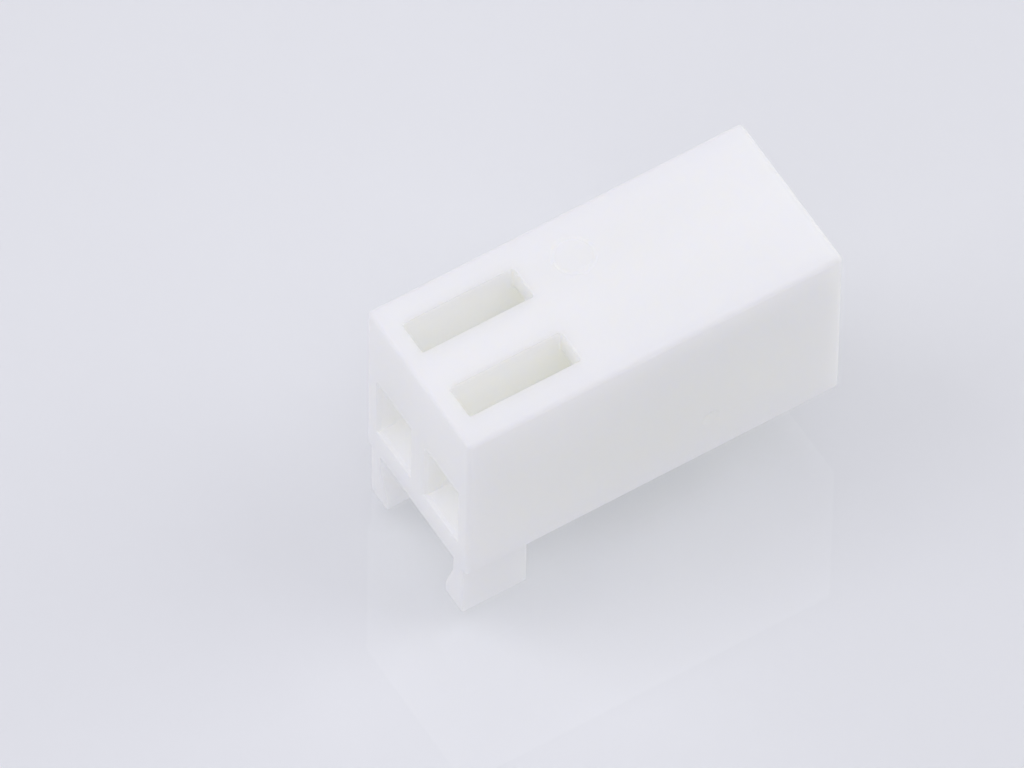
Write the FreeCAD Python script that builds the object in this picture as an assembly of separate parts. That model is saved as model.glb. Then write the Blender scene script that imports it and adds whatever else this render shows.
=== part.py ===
import FreeCAD, Part
import os

# Crimp-terminal housing for a wire-to-board connector: one nylon moulding.
# Millimetres. +X is the width, +Y runs from the mating face to the wire end, +Z is up.
# The origin is under the middle of the housing, on the surface that it stands on.

# Circuits
circuits = 2
pitch = 2.5

# Body
body_length = 12.25
body_height = 6.45
side_wall = 0.5
edge_radius = 0.14

# Terminal cavities, open to the wire end, each with a channel above it for the lance
cavity_width = 1.9
cavity_height = 2.6
floor_thickness = 1.1
top_wall = 0.8
front_wall = 0.57
cavity_radius = 0.15
wire_entry_flare = 0.15
wire_entry_depth = 0.35

# Pin openings in the mating face
opening_width = 1.7
opening_height = 2.36
lead_in_flare = 0.07
lead_in_depth = 0.12

# Lance windows in the top
window_width = 1.1
window_length = 3.64
window_radius = 0.08

# Polarising legs under the front corners
leg_height = 2.2
leg_length = 2.12
leg_inset = 0.25
leg_thickness = 0.5
toe_reach = 0.38
toe_start = 0.6
toe_height = 0.45
leg_radius = 0.06

# Friction ramp under the body
ramp_width = 2.3
ramp_start = 3.3
ramp_slope_length = 3.2
ramp_end = 9.0
ramp_back_lean = 0.35
ramp_radius = 0.15

# Witness marks of the mould
ejector_x = -1.28
ejector_from_front = 5.85
ejector_radius = 0.6
ejector_groove = 0.16
ejector_depth = 0.03
gate_from_front = 7.97
gate_up = 1.77
gate_radius = 0.3
gate_depth = 0.12
gate_floor_radius = 0.06

# Worked out from the sizes above
body_width = (circuits - 1) * pitch + cavity_width + 2 * side_wall
front = -body_length / 2
back = body_length / 2
body_bottom = leg_height
body_top = leg_height + body_height
cavity_floor = body_bottom + floor_thickness
channel_floor = cavity_floor + cavity_height
channel_roof = body_top - top_wall
circuit_xs = [(i - (circuits - 1) / 2) * pitch for i in range(circuits)]


def vector(x, y, z):
    return FreeCAD.Vector(x, y, z)


def face_from(points):
    """Flat face inside a closed run of corner points."""
    return Part.Face(Part.makePolygon(points + points[:1]))


def edges_where(shape, test):
    """Straight edges whose two ends both meet the test."""
    found = []
    for edge in shape.Edges:
        if all(test(vertex.Point) for vertex in edge.Vertexes):
            found.append(edge)
    return found


def near(value, target):
    return abs(value - target) < 1e-6


def upright_rectangle(x, low_z, width, height, y):
    """Rectangular wire in a plane that faces along Y."""
    left = x - width / 2
    right = x + width / 2
    high_z = low_z + height
    corners = [vector(left, y, low_z), vector(right, y, low_z),
               vector(right, y, high_z), vector(left, y, high_z)]
    return Part.makePolygon(corners + corners[:1])


def body_block():
    """Outer block: its front section drawn out to full length, edges rounded.

    The edge under the mating face stays sharp, because the legs rise from it.
    """
    section = Part.Face(upright_rectangle(0, body_bottom, body_width, body_height, front))
    block = section.extrude(vector(0, body_length, 0))
    sharp = edges_where(block, lambda p: near(p.y, front) and near(p.z, body_bottom))
    rounded = [edge for edge in block.Edges if not any(edge.isSame(other) for other in sharp)]
    return block.makeFillet(edge_radius, rounded)


def leg(side):
    """Leg under one front corner, with a toe that reaches inwards at its foot."""
    outer = body_width / 2 - leg_inset
    inner = outer - leg_thickness
    toe = inner - toe_reach
    root = body_bottom + floor_thickness / 2
    profile = [(outer, root), (outer, 0), (toe, 0), (toe, toe_height),
               (inner, body_bottom - toe_start), (inner, root)]
    foot = face_from([vector(side * x, front, z) for x, z in profile])
    solid = foot.extrude(vector(0, leg_length, 0))
    soft = edges_where(solid, lambda p: near(p.z, 0))
    soft += edges_where(solid, lambda p: near(p.x, side * outer))
    chosen = []
    for edge in soft:
        at_root = all(near(vertex.Point.z, root) for vertex in edge.Vertexes)
        if not at_root and not any(edge.isSame(other) for other in chosen):
            chosen.append(edge)
    return solid.makeFillet(leg_radius, chosen)


def friction_ramp():
    """Central ramp that snaps behind the header's wall and carries the wire end."""
    root = body_bottom + floor_thickness / 2
    start = front + ramp_start
    crest = start + ramp_slope_length
    end = front + ramp_end
    profile = [(start, root), (start, body_bottom), (crest, 0),
               (end - ramp_back_lean, 0), (end, body_bottom), (end, root)]
    side = face_from([vector(-ramp_width / 2, y, z) for y, z in profile])
    solid = side.extrude(vector(ramp_width, 0, 0))
    soft = edges_where(solid, lambda p: p.z < body_bottom - 1e-6)
    for x in (-ramp_width / 2, ramp_width / 2):
        slope = edges_where(solid, lambda p: near(p.x, x) and p.z < body_bottom + 1e-6)
        soft += [edge for edge in slope if not any(edge.isSame(other) for other in soft)]
    return solid.makeFillet(ramp_radius, soft)


def tunnel(x, low_z, width, height, start):
    """Passage that runs from a given place out through the wire end, long edges rounded."""
    section = Part.Face(upright_rectangle(x, low_z, width, height, start))
    passage = section.extrude(vector(0, back - start, 0))
    along = [edge for edge in passage.Edges if near(edge.Length, back - start)]
    return passage.makeFillet(cavity_radius, along)


def mouth(x, low_z, width, height):
    """Flare of a passage at the wire end."""
    flare = wire_entry_flare
    throat = upright_rectangle(x, low_z, width, height, back - wire_entry_depth)
    rim = upright_rectangle(x, low_z - flare, width + 2 * flare, height + 2 * flare, back)
    return Part.makeLoft([throat, rim], True, True)


def cavity(x):
    """Room for one crimped terminal, from the front wall out through the wire end."""
    room = tunnel(x, cavity_floor, cavity_width, cavity_height, front + front_wall)
    return [room, mouth(x, cavity_floor, cavity_width, cavity_height)]


def lance_channel(x):
    """Narrow way above the cavity that lets the terminal's lance through to its window."""
    low = channel_floor - 2 * cavity_radius
    height = channel_roof - low
    channel = tunnel(x, low, window_width, height, front + front_wall + window_length / 2)
    return [channel, mouth(x, low, window_width, height)]


def pin_opening(x):
    """Opening in the mating face for one header pin, with its lead-in."""
    flare = lead_in_flare
    hole = Part.Face(upright_rectangle(x, cavity_floor, opening_width, opening_height, front))
    hole = hole.extrude(vector(0, front_wall + cavity_radius, 0))
    rim = upright_rectangle(x, cavity_floor - flare, opening_width + 2 * flare,
                            opening_height + 2 * flare, front)
    throat = upright_rectangle(x, cavity_floor, opening_width, opening_height,
                               front + lead_in_depth)
    return hole.fuse(Part.makeLoft([rim, throat], True, True))


def lance_window(x):
    """Window in the top, down into the cavity, in which the terminal's lance latches."""
    start = front + front_wall
    left = x - window_width / 2
    low = channel_floor - cavity_radius
    corners = [vector(left, start, low), vector(left + window_width, start, low),
               vector(left + window_width, start + window_length, low),
               vector(left, start + window_length, low)]
    window = face_from(corners).extrude(vector(0, 0, body_top - low))
    upright = [edge for edge in window.Edges if near(edge.Length, body_top - low)]
    return window.makeFillet(window_radius, upright)


def ejector_mark():
    """Faint groove round the place where the ejector pin met the top."""
    y = front + ejector_from_front
    line = ejector_x + ejector_radius
    half = ejector_groove / 2
    profile = face_from([vector(line - half, y, body_top), vector(line, y, body_top - ejector_depth),
                         vector(line + half, y, body_top)])
    return profile.revolve(vector(ejector_x, y, body_top), vector(0, 0, 1), 360)


def gate_mark():
    """Pit in the right-hand side where the gate broke away."""
    centre = vector(body_width / 2, front + gate_from_front, body_bottom + gate_up)
    return Part.makeCone(gate_radius, gate_floor_radius, gate_depth, centre, vector(-1, 0, 0))


def housing():
    solid = body_block()
    solid = solid.fuse([leg(-1), leg(1), friction_ramp()])
    hollows = [ejector_mark(), gate_mark()]
    for x in circuit_xs:
        hollows += cavity(x) + lance_channel(x) + [pin_opening(x), lance_window(x)]
    solid = solid.cut(hollows)
    return solid.removeSplitter()


os.makedirs("parts", exist_ok=True)
moulding = housing()
assert moulding.isValid() and len(moulding.Solids) == 1
moulding.Solids[0].exportStep("parts/housing.step")
box = moulding.BoundBox
print("housing", round(box.XLength, 3), round(box.YLength, 3), round(box.ZLength, 3),
      "volume", round(moulding.Volume, 2))
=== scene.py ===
import math

import bpy
from mathutils import Matrix, Vector


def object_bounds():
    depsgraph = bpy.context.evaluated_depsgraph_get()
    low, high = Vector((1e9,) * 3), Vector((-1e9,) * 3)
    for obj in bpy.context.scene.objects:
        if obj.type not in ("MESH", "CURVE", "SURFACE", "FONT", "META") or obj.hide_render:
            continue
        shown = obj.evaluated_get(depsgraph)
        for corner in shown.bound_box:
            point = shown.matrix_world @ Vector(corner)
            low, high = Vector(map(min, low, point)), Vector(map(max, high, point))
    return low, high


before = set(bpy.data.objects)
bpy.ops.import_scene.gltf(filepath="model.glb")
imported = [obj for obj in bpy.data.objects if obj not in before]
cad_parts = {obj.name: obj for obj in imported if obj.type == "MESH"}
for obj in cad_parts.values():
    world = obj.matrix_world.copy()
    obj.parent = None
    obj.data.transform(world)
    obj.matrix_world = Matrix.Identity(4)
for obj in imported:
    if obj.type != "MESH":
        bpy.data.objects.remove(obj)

cad_low, cad_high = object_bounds()

MM = 0.001

# Where the photograph was taken from, fitted to the corners of the body
PHOTO_WIDTH = 1024
PHOTO_HEIGHT = 768
CAMERA_AZIMUTH = 57.55
CAMERA_ELEVATION = 56.39
CAMERA_ROLL = -0.94
CAMERA_DISTANCE = 0.675
PIXELS_PER_METRE = 35751
BOX_CENTRE_PIXEL = (603.9, 370.5)
SENSOR_WIDTH = 36.0

# Colours, linear. The backdrop is seen by the camera, and reflections see a deeper one.
NYLON_LIGHT = (1.0, 1.0, 0.988, 1.0)
NYLON_DEEP = (0.996, 0.997, 0.983, 1.0)
FLOOR_COLOUR = (0.884, 0.896, 0.908, 1.0)
SKY_COLOUR = (0.91, 0.91, 1.0, 1.0)
BACKDROP_COLOUR = (0.745, 0.745, 0.805, 1.0)
REFLECTED_COLOUR = (0.47, 0.47, 0.505, 1.0)
STUDIO_LAMP = (0.97, 0.96, 1.0)
COOL_LAMP = (0.91, 0.90, 1.0)
WARM_LAMP = (0.99, 1.0, 0.86)

# Nylon
CLOUD_SCALE = 420.0
CLOUD_BUMP = 0.02 * MM
GRAIN_SCALE = 9000.0
GRAIN_BUMP = 0.004 * MM
NYLON_ROUGHNESS = (0.36, 0.46)
NYLON_IOR = 1.40
NYLON_SPECULAR = 0.4
SCATTER_RATIOS = (1.0, 0.95, 0.8)
SCATTER_DEPTH = 2.0 * MM

# Floor: a clear plate on a matt board
FLOOR_SIZE = 1.2
BOARD_CLOUD_SCALE = 60.0
BOARD_DEEPER = 0.985
BOARD_ROUGHNESS = 0.6
PLATE_THICKNESS = 1.0 * MM
PLATE_ROUGHNESS = 0.03
PLATE_REFLECTION = 0.045
GRAZING_POWER = 5.0

# Light
SKY_STRENGTH = 0.25
LAMP_DISTANCE = 0.5
LIGHT_BOUNCES = 64


def pivot_axes(azimuth, elevation, roll):
    """Right, up and back directions of a camera that looks at the origin."""
    turned = math.radians(azimuth)
    raised = math.radians(elevation)
    level = math.cos(raised)
    back = Vector((math.sin(turned) * level, -math.cos(turned) * level, math.sin(raised)))
    right = Vector((math.cos(turned), math.sin(turned), 0.0))
    up = back.cross(right)
    tilt = Matrix.Rotation(math.radians(-roll), 3, back)
    return tilt @ right, tilt @ up, back


def make_camera():
    """Camera at the photograph's angle, far off behind a very long lens."""
    right, up, back = pivot_axes(CAMERA_AZIMUTH, CAMERA_ELEVATION, CAMERA_ROLL)
    across = (PHOTO_WIDTH / 2 - BOX_CENTRE_PIXEL[0]) / PIXELS_PER_METRE
    down = (PHOTO_HEIGHT / 2 - BOX_CENTRE_PIXEL[1]) / PIXELS_PER_METRE
    aim = (cad_low + cad_high) / 2 + right * across - up * down
    data = bpy.data.cameras.new("photo_camera")
    data.sensor_width = SENSOR_WIDTH
    data.lens = PIXELS_PER_METRE * CAMERA_DISTANCE / PHOTO_WIDTH * SENSOR_WIDTH
    data.clip_start = CAMERA_DISTANCE / 10
    data.clip_end = CAMERA_DISTANCE * 10
    camera = bpy.data.objects.new("photo_camera", data)
    bpy.context.scene.collection.objects.link(camera)
    axes = Matrix((right, up, back)).transposed()
    camera.matrix_world = Matrix.Translation(aim + back * CAMERA_DISTANCE) @ axes.to_4x4()
    bpy.context.scene.camera = camera


def new_material(name):
    """Node material with its Principled shader."""
    material = bpy.data.materials.new(name)
    material.use_nodes = True
    tree = material.node_tree
    return material, tree, tree.nodes["Principled BSDF"]


def noise(tree, vector, scale, detail, roughness=0.5):
    node = tree.nodes.new("ShaderNodeTexNoise")
    node.inputs["Scale"].default_value = scale
    node.inputs["Detail"].default_value = detail
    node.inputs["Roughness"].default_value = roughness
    tree.links.new(vector, node.inputs["Vector"])
    return node.outputs["Fac"]


def ramp(tree, value, low, high, low_colour, high_colour):
    """Colour that runs from one value of a texture to another."""
    node = tree.nodes.new("ShaderNodeValToRGB")
    node.color_ramp.elements[0].position = low
    node.color_ramp.elements[0].color = low_colour
    node.color_ramp.elements[1].position = high
    node.color_ramp.elements[1].color = high_colour
    tree.links.new(value, node.inputs["Fac"])
    return node.outputs["Color"]


def span(tree, value, low, high):
    """Number from a texture value, from low to high."""
    node = tree.nodes.new("ShaderNodeMapRange")
    node.inputs["From Min"].default_value = 0.3
    node.inputs["From Max"].default_value = 0.7
    node.inputs["To Min"].default_value = low
    node.inputs["To Max"].default_value = high
    tree.links.new(value, node.inputs["Value"])
    return node.outputs["Result"]


def bump(tree, height, distance, strength, normal=None):
    node = tree.nodes.new("ShaderNodeBump")
    node.inputs["Distance"].default_value = distance
    node.inputs["Strength"].default_value = strength
    tree.links.new(height, node.inputs["Height"])
    if normal is not None:
        tree.links.new(normal, node.inputs["Normal"])
    return node.outputs["Normal"]


def make_nylon():
    """Natural white nylon: satin skin over a milky, slightly translucent body."""
    material, tree, shader = new_material("natural_nylon")
    place = tree.nodes.new("ShaderNodeTexCoord").outputs["Object"]
    cloud = noise(tree, place, CLOUD_SCALE, 3.0)
    colour = ramp(tree, cloud, 0.35, 0.65, NYLON_DEEP, NYLON_LIGHT)
    tree.links.new(colour, shader.inputs["Base Color"])
    grain = noise(tree, place, GRAIN_SCALE, 4.0, 0.6)
    tree.links.new(span(tree, cloud, *NYLON_ROUGHNESS), shader.inputs["Roughness"])
    swell = bump(tree, cloud, CLOUD_BUMP, 0.25)
    tree.links.new(bump(tree, grain, GRAIN_BUMP, 0.35, swell), shader.inputs["Normal"])
    shader.inputs["IOR"].default_value = NYLON_IOR
    shader.inputs["Specular IOR Level"].default_value = NYLON_SPECULAR
    shader.inputs["Subsurface Weight"].default_value = 1.0
    shader.inputs["Subsurface Radius"].default_value = SCATTER_RATIOS
    shader.inputs["Subsurface Scale"].default_value = SCATTER_DEPTH
    return material


def make_board():
    """Matt pale board, barely clouded."""
    material, tree, shader = new_material("pale_board")
    place = tree.nodes.new("ShaderNodeTexCoord").outputs["Object"]
    cloud = noise(tree, place, BOARD_CLOUD_SCALE, 2.0)
    deeper = tuple(BOARD_DEEPER * part for part in FLOOR_COLOUR[:3]) + (1.0,)
    tree.links.new(ramp(tree, cloud, 0.3, 0.7, deeper, FLOOR_COLOUR), shader.inputs["Base Color"])
    shader.inputs["Roughness"].default_value = BOARD_ROUGHNESS
    shader.inputs["Specular IOR Level"].default_value = 0.0
    return material


def make_clear_plate():
    """Clear plate that shows the board and reflects faintly, more so at a low angle."""
    material = bpy.data.materials.new("clear_plate")
    material.use_nodes = True
    tree = material.node_tree
    tree.nodes.clear()
    clear = tree.nodes.new("ShaderNodeBsdfTransparent")
    gloss = tree.nodes.new("ShaderNodeBsdfGlossy")
    gloss.inputs["Roughness"].default_value = PLATE_ROUGHNESS
    facing = tree.nodes.new("ShaderNodeLayerWeight")
    slant = tree.nodes.new("ShaderNodeMath")
    slant.operation = "POWER"
    slant.inputs[1].default_value = GRAZING_POWER
    share = tree.nodes.new("ShaderNodeMapRange")
    share.inputs["To Min"].default_value = PLATE_REFLECTION
    tree.links.new(facing.outputs["Facing"], slant.inputs[0])
    tree.links.new(slant.outputs["Value"], share.inputs["Value"])
    mix = tree.nodes.new("ShaderNodeMixShader")
    output = tree.nodes.new("ShaderNodeOutputMaterial")
    tree.links.new(share.outputs["Result"], mix.inputs["Fac"])
    tree.links.new(clear.outputs["BSDF"], mix.inputs[1])
    tree.links.new(gloss.outputs["BSDF"], mix.inputs[2])
    tree.links.new(mix.outputs["Shader"], output.inputs["Surface"])
    return material


def floor_sheet(name, height, material):
    half = FLOOR_SIZE / 2
    corners = [(-half, -half, height), (half, -half, height),
               (half, half, height), (-half, half, height)]
    mesh = bpy.data.meshes.new(name)
    mesh.from_pydata(corners, [], [(0, 1, 2, 3)])
    mesh.materials.append(material)
    sheet = bpy.data.objects.new(name, mesh)
    bpy.context.scene.collection.objects.link(sheet)


def make_floor():
    """Clear plate under the object, on a pale board, so that the shadow falls just below it."""
    floor_sheet("plate", 0.0, make_clear_plate())
    floor_sheet("board", -PLATE_THICKNESS, make_board())


def make_world():
    """Even sky for the light, a pale backdrop for the camera and a deeper one for reflections."""
    world = bpy.data.worlds.new("studio")
    world.use_nodes = True
    tree = world.node_tree
    tree.nodes.clear()
    path = tree.nodes.new("ShaderNodeLightPath")
    light = tree.nodes.new("ShaderNodeBackground")
    light.inputs["Color"].default_value = SKY_COLOUR
    light.inputs["Strength"].default_value = SKY_STRENGTH
    last = light.outputs["Background"]
    others = [("Is Glossy Ray", REFLECTED_COLOUR), ("Is Camera Ray", BACKDROP_COLOUR)]
    for ray, colour in others:
        backdrop = tree.nodes.new("ShaderNodeBackground")
        backdrop.inputs["Color"].default_value = colour
        mix = tree.nodes.new("ShaderNodeMixShader")
        tree.links.new(path.outputs[ray], mix.inputs["Fac"])
        tree.links.new(last, mix.inputs[1])
        tree.links.new(backdrop.outputs["Background"], mix.inputs[2])
        last = mix.outputs["Shader"]
    output = tree.nodes.new("ShaderNodeOutputWorld")
    tree.links.new(last, output.inputs["Surface"])
    bpy.context.scene.world = world


def softbox(name, azimuth, elevation, width, height, watts, colour):
    """Soft lamp that faces the object from a given direction."""
    back = pivot_axes(azimuth, elevation, 0.0)[2]
    data = bpy.data.lights.new(name, "AREA")
    data.shape = "RECTANGLE"
    data.size = width
    data.size_y = height
    data.energy = watts
    data.color = colour
    lamp = bpy.data.objects.new(name, data)
    lamp.location = LAMP_DISTANCE * back
    lamp.rotation_mode = "QUATERNION"
    lamp.rotation_quaternion = (-back).to_track_quat("-Z", "Y")
    bpy.context.scene.collection.objects.link(lamp)


def make_lamps():
    """Square boxes high around the object, and long strips low beside it."""
    softbox("box_overhead", 0.0, 89.0, 0.48, 0.48, 0.80, COOL_LAMP)
    softbox("box_front_left", -30.0, 45.0, 0.35, 0.35, 0.51, STUDIO_LAMP)
    softbox("box_front_right", 60.0, 45.0, 0.35, 0.35, 0.26, STUDIO_LAMP)
    softbox("box_rear_right", 150.0, 45.0, 0.35, 0.35, 0.48, STUDIO_LAMP)
    softbox("strip_front", 0.0, 25.0, 0.80, 0.30, 0.32, STUDIO_LAMP)
    softbox("strip_left", -90.0, 25.0, 0.80, 0.30, 0.47, STUDIO_LAMP)
    softbox("strip_rear", 180.0, 15.0, 0.80, 0.24, 0.70, WARM_LAMP)


make_camera()
make_world()
make_lamps()
make_floor()

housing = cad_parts["housing"]
housing.data.materials.clear()
housing.data.materials.append(make_nylon())

bpy.context.scene.cycles.max_bounces = LIGHT_BOUNCES
bpy.context.scene.cycles.diffuse_bounces = LIGHT_BOUNCES
bpy.context.scene.view_settings.view_transform = "Standard"
